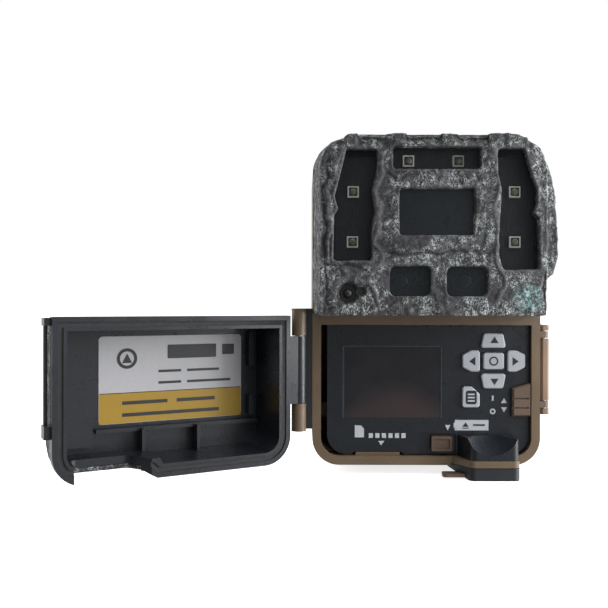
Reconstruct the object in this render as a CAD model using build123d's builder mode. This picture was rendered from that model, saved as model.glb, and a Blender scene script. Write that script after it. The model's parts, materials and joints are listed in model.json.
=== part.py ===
from build123d import *
import os

os.makedirs("parts", exist_ok=True)

# Trail camera in millimetres. X runs to the right, Y to the back, Z up. The origin is the mouth
# of the tripod socket in the middle of the back. Heights are given above the base by up().

# ---------------------------------------------------------------- driving dimensions
BODY_W = 76.0          # across the rim of the housing
BODY_TOP = 112.0       # top of the bark cover above the base
BASE_Z = -72.0         # base below the tripod socket
BACK_Y = -7.0          # outside of the back wall; the tree ribs stand behind it
SPLIT_Y = -22.0        # joint between the rear and front housings
RIM_Y = -48.0          # front edge of the rim, where the door closes
FRONT_Y = -68.0        # front of the bark cover and of the closed door
FLOOR_H = 3.5          # underside of the housing above the base
HOUSING_TOP = 110.0
CORNER_R = 9.0         # housing, seen from the front
COVER_R = 11.0         # bark cover
WALL = 2.2
FOOT_LEFT = -30.0      # left end of the skirt that stands on the table
RIM_WALL = 2.9

PANEL_Y = -46.2        # front of the control panel
PANEL_T = 1.6
PANEL_LOW = 6.7        # panel's lowest and highest edge
PANEL_HIGH = 50.1
COVER_LOW = 54.0       # lower edge of the bark cover at the rim
COVER_DROP = 0.4       # how much lower that edge runs at the front
COVER_WALL = 2.4

HINGE_X = -42.5
HINGE_Y = -51.7        # hinge pin stands in front of the rim
HINGE_R = 2.4
HINGE_PIN_R = 1.2
DOOR_OPEN = -151.5     # the door stands open by this angle
DOOR_LOW = 6.0
DOOR_HIGH = 53.4
DOOR_LEFT = -37.7      # hinge side of the closed door
DOOR_RIGHT = 36.0
DOOR_GAP = 0.3         # between the closed door and the rim
DOOR_TAPER = 4.0
DOOR_SKIN = 1.4
DOOR_WALL = 1.8

LATCH_X = 40.6         # latch pin
LATCH_Y = -43.5
LATCH_PIN_R = 0.8

TRAY_X = (-24.8, 27.4)     # battery tray, side to side
TRAY_Y = (-37.6, -9.5)     # and front to back
TRAY_TOP = 61.6
TRAY_GAP = 0.4
CELL_R = 7.0
CELL_LENGTH = 50.5
CELL_PITCH = 14.3
CELL_ROW = 12.4            # between the two nested rows
CELL_BASE = 9.5

NOSE_LEFT = 7.6        # bulge of the rim round the tray's front
NOSE_RIGHT = 29.4
NOSE_Y = -56.0
BAND_LOW = 4.2         # rim band round the nose
BAND_HIGH = 6.4
NOSE_TOP = 13.4

BUTTON_FRONT = -47.3
BUTTON_TRAVEL = 0.7
BUTTON_GAP = 0.15
EJECT_TRAVEL = 1.5
BOARD_FRONT = -42.4
BOARD_T = 1.2

CARD_X = -14.5         # memory card
CARD_W = 24.0
CARD_H = 32.0
CARD_T = 2.0
CARD_LOW = 5.0
CARD_Y = -40.0

INSERT_R = 4.8         # brass tripod socket
SOCKET_R = 2.6
SOCKET_DEPTH = 8.0
RIB_X = 22.0           # tree ribs on the back
RIB_T = 4.0
LOCK_R = 2.6           # cable lock hole through both ribs
LOCK_Y = -3.5
LOCK_H = 88.0
SCREW_X = 33.0
SCREW_HEIGHTS = (20.0, 58.0, 98.0)
SCREW_R = 1.2


# ---------------------------------------------------------------- helpers
def up(height):
    """Z of a height above the base."""
    return BASE_Z + height


def at_y(y):
    """Drawing plane seen from the front, at depth y; extrusions run forward."""
    return Plane.XZ.offset(-y)


def at_h(height):
    """Drawing plane seen from above, at a height over the base."""
    return Plane.XY.offset(up(height))


def keep(part, name):
    """Label a finished piece and write it."""
    part.label = name
    export_step(part, f"parts/{name}.step")


def rectangle(x0, x1, h0, h1, radius=0.0, mode=Mode.ADD):
    """Rectangle on a front-facing plane between two sides and two heights."""
    with Locations(((x0 + x1) / 2, up((h0 + h1) / 2))):
        if radius > 0:
            RectangleRounded(x1 - x0, h1 - h0, radius, mode=mode)
        else:
            Rectangle(x1 - x0, h1 - h0, mode=mode)


def block(x, y, h, mode=Mode.ADD):
    """Box between pairs of sides, depths and heights."""
    with Locations(((x[0] + x[1]) / 2, (y[0] + y[1]) / 2, up((h[0] + h[1]) / 2))):
        Box(x[1] - x[0], y[1] - y[0], h[1] - h[0], mode=mode)


def post(x, y, h, radius, mode=Mode.ADD):
    """Upright cylinder at x, y between two heights."""
    with Locations((x, y, up((h[0] + h[1]) / 2))):
        Cylinder(radius, h[1] - h[0], mode=mode)


def peg(x, h, y, radius, mode=Mode.ADD):
    """Front-to-back cylinder at x and height h between two depths."""
    with Locations(Location((x, (y[0] + y[1]) / 2, up(h)), (90, 0, 0))):
        Cylinder(radius, y[1] - y[0], mode=mode)


def outline(points, mode=Mode.ADD):
    """Closed outline from (x, height) points, on a front-facing sketch."""
    Polygon(*[(x, up(h)) for x, h in points], align=None, mode=mode)


def plan(points):
    """Closed outline from (x, y) points, on a sketch seen from above."""
    Polygon(*points, align=None)


def body_outline(inset=0.0):
    """Outline of the housing seen from the front."""
    half = BODY_W / 2 - inset
    rectangle(-half, half, FLOOR_H + inset, HOUSING_TOP - inset, CORNER_R - inset)


def nose_plan(inset=0.0, left=NOSE_LEFT):
    """Rim's bulge seen from above, from the rim back to the tray."""
    right = NOSE_RIGHT - inset
    with BuildLine() as edge:
        FilletPolyline((left, -39.0), (left, -46.5), (NOSE_LEFT + 5.9 + inset, NOSE_Y + inset),
                       (right, NOSE_Y + inset), (right, -39.0), radius=2.2)
        Line((right, -39.0), (left, -39.0))
    make_face(edge.edges())


def simple_block(name, x, y, h):
    """Plain rectangular internal piece."""
    with BuildPart() as piece:
        block(x, y, h)
    keep(piece.part, name)


# ---------------------------------------------------------------- rear housing
TRAY_OPENING_X = (TRAY_X[0] - TRAY_GAP, TRAY_X[1] + TRAY_GAP)
TRAY_OPENING_Y = (TRAY_Y[0] - TRAY_GAP, TRAY_Y[1] + 0.2)

with BuildPart() as rear_housing:
    with BuildSketch(at_y(BACK_Y)):
        body_outline()
    extrude(amount=BACK_Y - SPLIT_Y)
    fillet(rear_housing.faces().sort_by(Axis.Y)[-1].edges(), 3.0)
    with BuildSketch(at_y(BACK_Y - WALL)):
        body_outline(WALL)
    extrude(amount=BACK_Y - WALL - SPLIT_Y, mode=Mode.SUBTRACT)
    # screw bosses
    for x in (-SCREW_X, SCREW_X):
        for h in SCREW_HEIGHTS:
            peg(x, h, (SPLIT_Y, BACK_Y - 1.0), 2.5)
            peg(x, h, (SPLIT_Y - 1, BACK_Y + 1), SCREW_R + 0.15, Mode.SUBTRACT)
            peg(x, h, (BACK_Y - 1.8, BACK_Y + 1), 2.4, Mode.SUBTRACT)
    # skirt that stands on the table, outside the tray's way
    block((FOOT_LEFT, -26.0), (SPLIT_Y, BACK_Y - 1.0), (0.0, 6.3))
    block((28.6, 33.0), (SPLIT_Y, BACK_Y - 1.0), (0.0, 6.3))
    block((FOOT_LEFT, 33.0), (BACK_Y - 2.0, BACK_Y - 0.2), (0.0, 8.0))
    # tray's way out
    block(TRAY_OPENING_X, (SPLIT_Y - 1, TRAY_OPENING_Y[1]), (FLOOR_H - 5, 8.5), Mode.SUBTRACT)
    # tree ribs with strap slots and the cable lock hole
    for x in (-RIB_X, RIB_X):
        with BuildSketch(Plane.YZ.offset(x - RIB_T / 2)):
            plan([(BACK_Y - 1, up(28)), (0, up(34)), (0, up(98)), (BACK_Y - 1, up(104))])
        extrude(amount=RIB_T)
    block((-RIB_X - 6, RIB_X + 6), (BACK_Y + 0.2, -1.8), (36.0, 64.0), Mode.SUBTRACT)
    with Locations(Location((0, LOCK_Y, up(LOCK_H)), (0, 90, 0))):
        Cylinder(LOCK_R, 2 * RIB_X + 12, mode=Mode.SUBTRACT)
    # boss of the tripod socket, with a bridge to each rib
    block((-RIB_X, RIB_X), (BACK_Y - 1, -2.0), (68.0, 76.0))
    peg(0, 72, (BACK_Y - 1.6, 0), 9.0)
    peg(0, 72, (-SOCKET_DEPTH - 0.6, 1), INSERT_R, Mode.SUBTRACT)
keep(rear_housing.part, "rear_housing")

# ---------------------------------------------------------------- front housing
KNUCKLES = ((15.5, 24.5), (46.8, 55.6))
FLANGE_Y = (-47.9, -45.6)
LATCH_LUGS = ((22.3, 24.5), (45.9, 48.1))

with BuildPart() as front_housing:
    with BuildSketch(at_y(SPLIT_Y)):
        body_outline()
    extrude(amount=SPLIT_Y - RIM_Y)
    with BuildSketch(at_y(SPLIT_Y)):
        body_outline(RIM_WALL)
    extrude(amount=SPLIT_Y - RIM_Y, mode=Mode.SUBTRACT)
    # bar between the panel and the bark cover
    block((-36.0, 36.0), (RIM_Y, -40.0), (PANEL_HIGH + 0.1, 53.4))
    # screw bosses
    for x in (-SCREW_X, SCREW_X):
        for h in SCREW_HEIGHTS:
            peg(x, h, (-34.0, SPLIT_Y), 2.5)
            peg(x, h, (-33.0, SPLIT_Y + 1), SCREW_R, Mode.SUBTRACT)
    # feet that continue the rear skirt
    block((FOOT_LEFT, -26.0), (-30.0, SPLIT_Y), (0.0, 6.3))
    block((28.6, 33.0), (-30.0, SPLIT_Y), (0.0, 6.3))
    # nose band round the front of the tray
    with BuildSketch(at_h(BAND_LOW)):
        nose_plan()
    extrude(amount=BAND_HIGH - BAND_LOW)
    with BuildSketch(at_h(FLOOR_H - 1)):
        nose_plan(-0.4)
        with Locations(((NOSE_LEFT + NOSE_RIGHT) / 2, -36.0)):
            Rectangle(NOSE_RIGHT - NOSE_LEFT + 0.8, 10.0)
    extrude(amount=BAND_LOW - FLOOR_H + 1, mode=Mode.SUBTRACT)
    # seat of the panel's lower edge, and the tray's way out
    block((-34.0, 34.0), (PANEL_Y - 0.15, -38.0), (FLOOR_H + RIM_WALL, 9.0), Mode.SUBTRACT)
    block(TRAY_OPENING_X, (TRAY_OPENING_Y[0], SPLIT_Y + 1), (FLOOR_H - 5, 8.5), Mode.SUBTRACT)
    # slot of the memory card and the finger scallop in front of it
    block((CARD_X - CARD_W / 2 - 0.3, CARD_X + CARD_W / 2 + 0.3), (CARD_Y - 1.2, CARD_Y + 1.2),
          (FLOOR_H - 1, 9.0), Mode.SUBTRACT)
    peg(CARD_X, FLOOR_H - 10.8, (RIM_Y + 1.6, CARD_Y + 2.0), 12.2, Mode.SUBTRACT)
    # raised run of the rim under the panel's shallow notch
    block((-23.4, -8.6), (PANEL_Y, PANEL_Y + 1.6), (FLOOR_H + RIM_WALL - 0.5, PANEL_LOW + 0.8))
    # hinge knuckles on the left
    for low, high in KNUCKLES:
        post(HINGE_X, HINGE_Y, (low, high), HINGE_R)
        with BuildSketch(at_h(low)):
            plan([(HINGE_X - 1.4, HINGE_Y + 0.7), (HINGE_X + 0.8, HINGE_Y + 2.1), (-41.7, FLANGE_Y[1]),
                  (-37.2, FLANGE_Y[1]), (-37.2, -42.0), (-43.0, -44.5)])
        extrude(amount=high - low)
        post(HINGE_X, HINGE_Y, (low - 1, high + 1), HINGE_PIN_R, Mode.SUBTRACT)
    # latch lugs on the right
    for low, high in LATCH_LUGS:
        post(LATCH_X, LATCH_Y, (low, high), 1.5)
        block((BODY_W / 2 - 0.5, LATCH_X), (LATCH_Y - 1.5, LATCH_Y + 1.5), (low, high))
        post(LATCH_X, LATCH_Y, (low - 1, high + 1), LATCH_PIN_R, Mode.SUBTRACT)
keep(front_housing.part, "front_housing")

# ---------------------------------------------------------------- housing seal and fasteners
with BuildPart() as housing_seal:
    with BuildSketch(at_y(SPLIT_Y + 0.9)):
        body_outline(WALL)
        with Locations((0, 0)):
            half = BODY_W / 2 - WALL - 0.8
            rectangle(-half, half, FLOOR_H + WALL + 0.8, HOUSING_TOP - WALL - 0.8,
                      CORNER_R - WALL - 0.8, Mode.SUBTRACT)
        rectangle(TRAY_OPENING_X[0] - 8, TRAY_OPENING_X[1] + 5, 0, 22, 0, Mode.SUBTRACT)
        for x in (-SCREW_X, SCREW_X):
            for h in SCREW_HEIGHTS:
                with Locations((x, up(h))):
                    Circle(2.6, mode=Mode.SUBTRACT)
    extrude(amount=0.9)
keep(housing_seal.part, "housing_seal")

with BuildPart() as housing_screws:
    for x in (-SCREW_X, SCREW_X):
        for h in SCREW_HEIGHTS:
            peg(x, h, (-31.0, BACK_Y - 1.8), SCREW_R)
            peg(x, h, (BACK_Y - 1.8, BACK_Y - 0.4), 2.2)
            with Locations((x, BACK_Y - 0.7, up(h))):
                Box(2.8, 0.6, 0.6, mode=Mode.SUBTRACT)
                Box(0.6, 0.6, 2.8, mode=Mode.SUBTRACT)
keep(housing_screws.part, "housing_screws")

with BuildPart() as tripod_insert:
    peg(0, 72, (-SOCKET_DEPTH - 0.6, 0), INSERT_R)
    peg(0, 72, (-SOCKET_DEPTH, 1), SOCKET_R, Mode.SUBTRACT)
keep(tripod_insert.part, "tripod_insert")

simple_block("hinge_flange", (-41.0, -BODY_W / 2), FLANGE_Y, (KNUCKLES[0][0], KNUCKLES[1][1]))

with BuildPart() as hinge_pin:
    post(HINGE_X, HINGE_Y, (KNUCKLES[0][0] + 0.6, KNUCKLES[1][1] - 0.6), HINGE_PIN_R)
    chamfer(hinge_pin.edges(), 0.3)
keep(hinge_pin.part, "hinge_pin")

with BuildPart() as latch_pin:
    post(LATCH_X, LATCH_Y, (20.6, 49.6), LATCH_PIN_R)
keep(latch_pin.part, "latch_pin")

# ---------------------------------------------------------------- bark cover and its windows
LEFT_FLASH = ((-27.9, 104.8), (-18.8, 104.4), (-18.6, 98.4), (-20.1, 92.0), (-19.2, 85.4),
              (-20.4, 79.5), (-20.2, 70.6), (-31.8, 70.6), (-31.6, 84.5), (-30.4, 86.4),
              (-31.5, 90.3), (-30.0, 96.0))
RIGHT_FLASH = ((18.8, 105.0), (26.5, 105.0), (29.2, 96.1), (30.5, 92.6), (30.5, 87.7),
               (29.1, 85.2), (30.9, 83.4), (31.4, 68.0), (20.6, 67.7), (19.3, 72.0),
               (19.1, 78.5), (20.1, 92.4), (18.6, 97.4))
TOP_FLASH = (-13.5, 13.3, 98.8, 105.3)
SENSOR = (-11.5, 11.3, 78.4, 92.6)
DAY_LENS = (-14.4, -2.0, 59.6, 68.7)
NIGHT_LENS = (3.1, 15.5, 59.6, 68.6)
LIGHT_SENSOR = (-27.3, 60.4)
STATUS_LED = (-23.3, 60.8)
WINDOW_BACK = FRONT_Y + COVER_WALL
WINDOW_T = 1.2
COVER_SCREWS = ((-31.2, 57.0), (29.2, 57.0))
SWELLING = ((31.8, 64.5), (33.6, 64.5), (36.0, 66.5), (37.3, 72.0), (37.0, 84.0), (36.4, 92.0),
            (35.0, 97.5), (33.5, 101.5), (31.8, 101.5))
BOX_WINDOWS = (("top_flash_window", TOP_FLASH, 0.8), ("sensor_window", SENSOR, 0.8),
               ("day_lens_window", DAY_LENS, 1.8), ("night_lens_window", NIGHT_LENS, 1.8))

with BuildPart() as bark_cover:
    with BuildSketch(at_y(RIM_Y)):
        rectangle(-38.0, 38.0, COVER_LOW + 12, BODY_TOP - 0.2, COVER_R)
        rectangle(-38.0, 38.0, COVER_LOW, COVER_LOW + 30)
    with BuildSketch(at_y(FRONT_Y)):
        rectangle(-36.0, 33.6, COVER_LOW + 12, BODY_TOP - 2.4, COVER_R)
        rectangle(-36.0, 33.6, COVER_LOW - COVER_DROP, COVER_LOW + 30)
    loft()
    # swelling on the right side
    with BuildSketch(at_y(-49.5)):
        outline([(x + 1.5, h) for x, h in SWELLING])
    with BuildSketch(at_y(FRONT_Y + 0.6)):
        outline(SWELLING)
    loft()
    with BuildSketch(at_y(RIM_Y)):
        rectangle(-35.6, 35.6, COVER_LOW + 12, BODY_TOP - 2.6, COVER_R - 2)
        rectangle(-35.6, 35.6, COVER_LOW + COVER_WALL, COVER_LOW + 30)
    with BuildSketch(at_y(WINDOW_BACK)):
        rectangle(-33.8, 31.9, COVER_LOW + 12, BODY_TOP - 5.0, COVER_R - 2)
        rectangle(-33.8, 31.9, COVER_LOW + COVER_WALL - COVER_DROP, COVER_LOW + 30)
    loft(mode=Mode.SUBTRACT)
    with BuildSketch(at_y(WINDOW_BACK + 1)):
        outline(LEFT_FLASH)
        outline(RIGHT_FLASH)
        for _, (x0, x1, h0, h1), radius in BOX_WINDOWS:
            rectangle(x0, x1, h0, h1, radius)
        with Locations((LIGHT_SENSOR[0], up(LIGHT_SENSOR[1]))):
            Circle(2.8)
        with Locations((STATUS_LED[0], up(STATUS_LED[1]))):
            Circle(0.9)
    extrude(amount=5.0, mode=Mode.SUBTRACT)
    # screw bosses inside the lower corners
    for x, h in COVER_SCREWS:
        peg(x, h, (WINDOW_BACK - 0.5, RIM_Y), 2.2)
        peg(x, h, (-56.0, RIM_Y + 1), 1.0, Mode.SUBTRACT)
keep(bark_cover.part, "bark_cover")

with BuildPart() as left_flash_window:
    with BuildSketch(at_y(WINDOW_BACK)):
        outline(LEFT_FLASH)
    extrude(amount=WINDOW_T)
keep(left_flash_window.part, "left_flash_window")

with BuildPart() as right_flash_window:
    with BuildSketch(at_y(WINDOW_BACK)):
        outline(RIGHT_FLASH)
    extrude(amount=WINDOW_T)
keep(right_flash_window.part, "right_flash_window")

for name, (x0, x1, h0, h1), radius in BOX_WINDOWS:
    with BuildPart() as window:
        with BuildSketch(at_y(WINDOW_BACK)):
            rectangle(x0, x1, h0, h1, radius)
        extrude(amount=WINDOW_T)
    keep(window.part, name)

# ---------------------------------------------------------------- night flash
LED_BACK = -61.6
LED_DEPTH = 1.4
LED_SIZE = 3.5
LEDS = ((-25.5, 92.3), (-25.7, 76.6), (-8.2, 102.0), (7.4, 102.0), (25.1, 92.4), (25.2, 76.7))

simple_block("left_led_board", (-31.2, -18.4), (LED_BACK, LED_BACK + 1.2), (70.2, 103.4))
simple_block("right_led_board", (18.4, 31.4), (LED_BACK, LED_BACK + 1.2), (67.2, 103.4))
simple_block("top_led_board", (-14.2, 14.2), (LED_BACK, LED_BACK + 1.2), (98.2, 105.8))

with BuildPart() as flash_leds:
    for x, h in LEDS:
        half = LED_SIZE / 2
        block((x - half, x + half), (LED_BACK - LED_DEPTH, LED_BACK), (h - half, h + half))
        peg(x, h, (LED_BACK - LED_DEPTH - 1, LED_BACK - 0.5), 1.35, Mode.SUBTRACT)
keep(flash_leds.part, "flash_leds")

# ---------------------------------------------------------------- motion sensor, lenses and sensors
with BuildPart() as fresnel_lens:
    block((-12.0, 12.5), (WINDOW_BACK + 0.1, WINDOW_BACK + 1.1), (77.0, 93.4))
    for x in (-7.8, -3.7, 0.3, 4.4, 8.5):
        for h in (81.2, 85.2, 89.2):
            peg(x, h, (WINDOW_BACK + 0.8, WINDOW_BACK + 2), 1.6, Mode.SUBTRACT)
keep(fresnel_lens.part, "fresnel_lens")

with BuildPart() as pir_sensor:
    peg(0.3, 85.2, (-56.0, -50.6), 4.1)
    peg(0.3, 85.2, (-51.2, -50.4), 4.6)
    block((-1.2, 1.8), (-56.6, -55.0), (83.2, 87.2))
keep(pir_sensor.part, "pir_sensor")

LENSES = (("day_lens", -10.8), ("night_lens", 9.2))
for name, x in LENSES:
    with BuildPart() as lens:
        peg(x, 64.4, (-58.0, -53.8), 5.4)
        peg(x, 64.4, (-64.6, -58.0), 4.3)
        peg(x, 64.4, (-65.6, -63.4), 2.9, Mode.SUBTRACT)
        peg(x, 64.4, (-63.8, -63.0), 2.9)
        block((x - 6.0, x + 6.0), (-55.0, -53.8), (58.6, 70.2))
    keep(lens.part, name)

simple_block("lens_board", (-21.0, 21.0), (-53.8, -52.6), (57.0, 72.0))
simple_block("camera_board", (-29.0, 29.0), (-50.4, -49.2), (62.0, 103.0))

with BuildPart() as light_sensor:
    peg(*LIGHT_SENSOR, (-66.0, -62.0), 2.7)
    with Locations((LIGHT_SENSOR[0], -66.0, up(LIGHT_SENSOR[1]))):
        Sphere(1.5)
keep(light_sensor.part, "light_sensor")

with BuildPart() as status_led:
    peg(*STATUS_LED, (-67.0, -62.0), 0.85)
keep(status_led.part, "status_led")

with BuildPart() as cover_screws:
    for x, h in COVER_SCREWS:
        peg(x, h, (-55.5, RIM_Y), 1.0)
        peg(x, h, (RIM_Y, RIM_Y + 1.6), 2.0)
keep(cover_screws.part, "cover_screws")

# ---------------------------------------------------------------- control panel
LCD = (-26.9, 5.5, 19.0, 42.9)
EJECT = (1.9, 8.8, 8.0, 12.9)
SWITCH = (28.8, 35.0, 19.8, 30.9)
SWITCH_FRONT = -48.0
UP_KEY = ((19.3, 47.4), (25.8, 47.4), (26.8, 42.6), (18.3, 42.6))
DOWN_KEY = ((18.3, 33.9), (26.8, 33.9), (25.8, 29.0), (19.3, 29.0))
LEFT_KEY = ((12.2, 40.3), (15.1, 41.7), (18.0, 41.7), (18.0, 34.6), (15.1, 34.6), (12.2, 36.1))
RIGHT_KEY = ((27.3, 41.7), (30.2, 41.7), (33.2, 40.3), (33.2, 36.1), (30.2, 34.6), (27.3, 34.6))
OK_KEY = ((19.2, 40.9), (26.1, 40.9), (26.1, 35.4), (19.2, 35.4))
MODE_KEY = ((12.2, 29.6), (15.3, 29.6), (18.0, 27.1), (18.0, 22.6), (12.2, 22.6))
KEYS = {"button_up": UP_KEY, "button_down": DOWN_KEY, "button_left": LEFT_KEY,
        "button_right": RIGHT_KEY, "button_ok": OK_KEY, "button_mode": MODE_KEY}
PANEL_BACK = PANEL_Y + PANEL_T


with BuildPart() as control_panel:
    # nose with its thumb scoop
    with BuildSketch(at_h(BAND_HIGH)):
        nose_plan(0.3, 10.8)
        with Locations((20.0, -41.0)):
            Rectangle(40.0, 2 * (-41.0 - PANEL_Y), mode=Mode.SUBTRACT)
    extrude(amount=NOSE_TOP - BAND_HIGH)
    with Locations(Location((20.0, -51.0, up(23.7)), (-58, 0, 0))):
        Cylinder(10.7, 60.0, mode=Mode.SUBTRACT)
    with BuildSketch(at_y(PANEL_BACK)):
        rectangle(-33.0, 35.0, PANEL_LOW, PANEL_HIGH, 6.8)
        rectangle(-33.0, 35.0, PANEL_LOW + 12, PANEL_HIGH)
    extrude(amount=PANEL_T)
    # display, keys, power switch and eject button
    with BuildSketch(at_y(PANEL_BACK + 1)):
        rectangle(*LCD, 0.6)
    extrude(amount=PANEL_T + 2, mode=Mode.SUBTRACT)
    with BuildSketch(at_y(PANEL_BACK + 1)):
        for points in KEYS.values():
            outline(points)
        offset(amount=BUTTON_GAP)
    extrude(amount=PANEL_T + 2, mode=Mode.SUBTRACT)
    with BuildSketch(at_y(PANEL_BACK + 1)):
        rectangle(30.8, 33.8, 21.1, 29.7)
        rectangle(EJECT[0] - 0.2, EJECT[1] + 0.2, EJECT[2] - 0.2, EJECT[3] + 0.2, 0.6)
    extrude(amount=PANEL_T + 2, mode=Mode.SUBTRACT)
    # shallow notch in the lower edge over the card slot
    with BuildSketch(at_y(PANEL_BACK + 1)):
        outline([(-25.0, 5.0), (-25.0, PANEL_LOW), (-23.6, PANEL_LOW + 1.0), (-8.4, PANEL_LOW + 1.0),
                 (-7.0, PANEL_LOW), (-7.0, 5.0)])
    extrude(amount=PANEL_T + 2, mode=Mode.SUBTRACT)
    # shallow well round the eject button
    with BuildSketch(at_y(PANEL_Y + 0.7)):
        rectangle(-2.2, 10.2, PANEL_LOW, 13.9, 0.6)
    extrude(amount=2.0, mode=Mode.SUBTRACT)
keep(control_panel.part, "control_panel")

with BuildPart() as lcd_window:
    with BuildSketch(at_y(PANEL_BACK)):
        rectangle(*LCD, 0.6)
    extrude(amount=PANEL_T - 0.2)
keep(lcd_window.part, "lcd_window")

simple_block("lcd_module", (-28.6, 7.4), (PANEL_BACK + 0.1, BOARD_FRONT - 0.1), (17.0, 45.8))

with BuildPart() as main_board:
    block((-31.0, 33.6), (BOARD_FRONT, BOARD_FRONT + BOARD_T), (15.2, 50.2))
    for x in (-29.0, 31.6):
        peg(x, 48.0, (BOARD_FRONT - 1, BOARD_FRONT + 3), 1.2, Mode.SUBTRACT)
keep(main_board.part, "main_board")

with BuildPart() as keypad_mat:
    block((10.8, 34.4), (-43.3, -42.9), (21.4, 48.8))
    block((29.6, 35.4), (-44.0, -42.0), (18.0, 35.0), Mode.SUBTRACT)
keep(keypad_mat.part, "keypad_mat")


def key_centre(points):
    """Middle of a key's outline."""
    xs = [x for x, _ in points]
    hs = [h for _, h in points]
    return (min(xs) + max(xs)) / 2, (min(hs) + max(hs)) / 2


with BuildPart() as tact_switches:
    for points in KEYS.values():
        peg(*key_centre(points), (-42.85, BOARD_FRONT), 1.7)
keep(tact_switches.part, "tact_switches")

for name, points in KEYS.items():
    with BuildPart() as button:
        with BuildSketch(at_y(PANEL_BACK + 0.1)) as cap:
            outline(points)
            fillet(cap.vertices(), 0.8)
        extrude(amount=PANEL_BACK + 0.1 - BUTTON_FRONT)
        chamfer(button.faces().sort_by(Axis.Y)[0].edges(), 0.3)
        with BuildSketch(at_y(PANEL_BACK + 0.5)):
            outline(points)
            offset(amount=2 * BUTTON_GAP)
        extrude(amount=0.4)
    keep(button.part, name)

simple_block("slide_switch", (30.2, 34.6), (-43.4, BOARD_FRONT), (19.4, 34.6))

with BuildPart() as power_switch:
    with BuildSketch(at_y(PANEL_Y - 0.1)):
        outline([(SWITCH[0], SWITCH[2]), (SWITCH[1], SWITCH[2]), (SWITCH[1], SWITCH[3]),
                 (SWITCH[0], SWITCH[3] - 1.8)])
    extrude(amount=PANEL_Y - 0.1 - SWITCH_FRONT)
    chamfer(power_switch.faces().sort_by(Axis.Y)[0].edges(), 0.5)
    for h in (22.4, 25.5):
        block((SWITCH[0] - 1, SWITCH[1] - 0.8), (SWITCH_FRONT - 1, SWITCH_FRONT + 0.6), (h, h + 0.5),
              Mode.SUBTRACT)
    block((31.0, 33.6), (PANEL_Y - 0.2, -43.6), (21.3, 25.5))
keep(power_switch.part, "power_switch")

with BuildPart() as eject_button:
    with BuildSketch(at_y(PANEL_BACK + 0.1)):
        rectangle(*EJECT, 0.5)
    extrude(amount=PANEL_BACK + 0.1 + 47.5)
    with BuildSketch(at_y(-47.0)):
        rectangle(EJECT[0] + 0.8, EJECT[1] - 0.8, EJECT[2] + 0.8, EJECT[3] - 0.8, 0.3)
    extrude(amount=1.0, mode=Mode.SUBTRACT)
    with BuildSketch(at_y(PANEL_BACK + 0.6)):
        rectangle(EJECT[0] - 0.6, EJECT[1] + 0.6, EJECT[2] - 0.5, EJECT[3] + 0.6)
    extrude(amount=0.5)
keep(eject_button.part, "eject_button")

CATCH_FRONT = PANEL_BACK + 0.6
simple_block("eject_catch", (4.1, 6.7), (CATCH_FRONT, -40.3), (9.1, 11.7))

with BuildPart() as eject_spring:
    peg(5.4, 10.4, (-42.4, -38.5), 2.8)
    peg(5.4, 10.4, (-43.0, -38.0), 2.1, Mode.SUBTRACT)
keep(eject_spring.part, "eject_spring")

# ---------------------------------------------------------------- memory card
with BuildPart() as sd_socket:
    block((CARD_X - 13.4, CARD_X + 13.4), (BOARD_FRONT + BOARD_T, -38.6), (12.0, 38.4))
    block((CARD_X - CARD_W / 2 - 0.15, CARD_X + CARD_W / 2 + 0.15),
          (CARD_Y - CARD_T / 2 - 0.1, CARD_Y + CARD_T / 2 + 0.1), (11.0, 37.6), Mode.SUBTRACT)
keep(sd_socket.part, "sd_socket")

with BuildPart() as sd_card:
    with BuildSketch(at_y(CARD_Y + CARD_T / 2)):
        x0, x1 = CARD_X - CARD_W / 2, CARD_X + CARD_W / 2
        low, high = CARD_LOW, CARD_LOW + CARD_H
        outline([(x0, low), (x1, low), (x1, high), (x0 + 4, high), (x0, high - 4)])
    extrude(amount=CARD_T)
keep(sd_card.part, "sd_card")

# ---------------------------------------------------------------- battery bay and tray
BAY_X = (TRAY_X[0] - 1.5, TRAY_X[1] + 1.5)
BAY_FRONT = -38.5
BAY_TOP = 63.8

with BuildPart() as battery_bay:
    block(BAY_X, (BAY_FRONT, BACK_Y - WALL), (9.0, BAY_TOP))
    block(TRAY_OPENING_X, (BAY_FRONT + 0.6, BACK_Y), (8.0, BAY_TOP - 1.4), Mode.SUBTRACT)
keep(battery_bay.part, "battery_bay")

with BuildPart() as bay_contacts:
    for x in (-14.0, 16.0):
        block((x - 3, x + 3), (-26.0, -20.0), (BAY_TOP - 1.4 - 0.5, BAY_TOP - 1.4))
keep(bay_contacts.part, "bay_contacts")

with BuildPart() as tray_frame:
    block(TRAY_X, TRAY_Y, (7.4, TRAY_TOP))
    block((TRAY_X[0] + 1.0, TRAY_X[1] - 1.0), (TRAY_Y[0] + 0.85, TRAY_Y[1] - 0.75), (9.0, TRAY_TOP - 1.4),
          Mode.SUBTRACT)
    for x in (-14.5, 1.3, 17.1):
        for y in TRAY_Y:
            block((x - 6.0, x + 6.0), (y - 2, y + 2), (16.0, 53.0), Mode.SUBTRACT)
keep(tray_frame.part, "tray_frame")

CELLS = [(-16.7 + CELL_PITCH * column + CELL_PITCH / 2 * row, TRAY_Y[0] + 0.9 + CELL_R + CELL_ROW * row)
         for row in range(2) for column in range(3)]

with BuildPart() as aa_cells:
    for index, (x, y) in enumerate(CELLS):
        upward = index % 2 == 0
        can = (CELL_BASE, CELL_BASE + CELL_LENGTH - 1.3) if upward else (CELL_BASE + 1.3, CELL_BASE + CELL_LENGTH)
        nub = (can[1], can[1] + 1.3) if upward else (can[0] - 1.3, can[0])
        post(x, y, can, CELL_R)
        post(x, y, nub, 2.7)
keep(aa_cells.part, "aa_cells")

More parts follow.
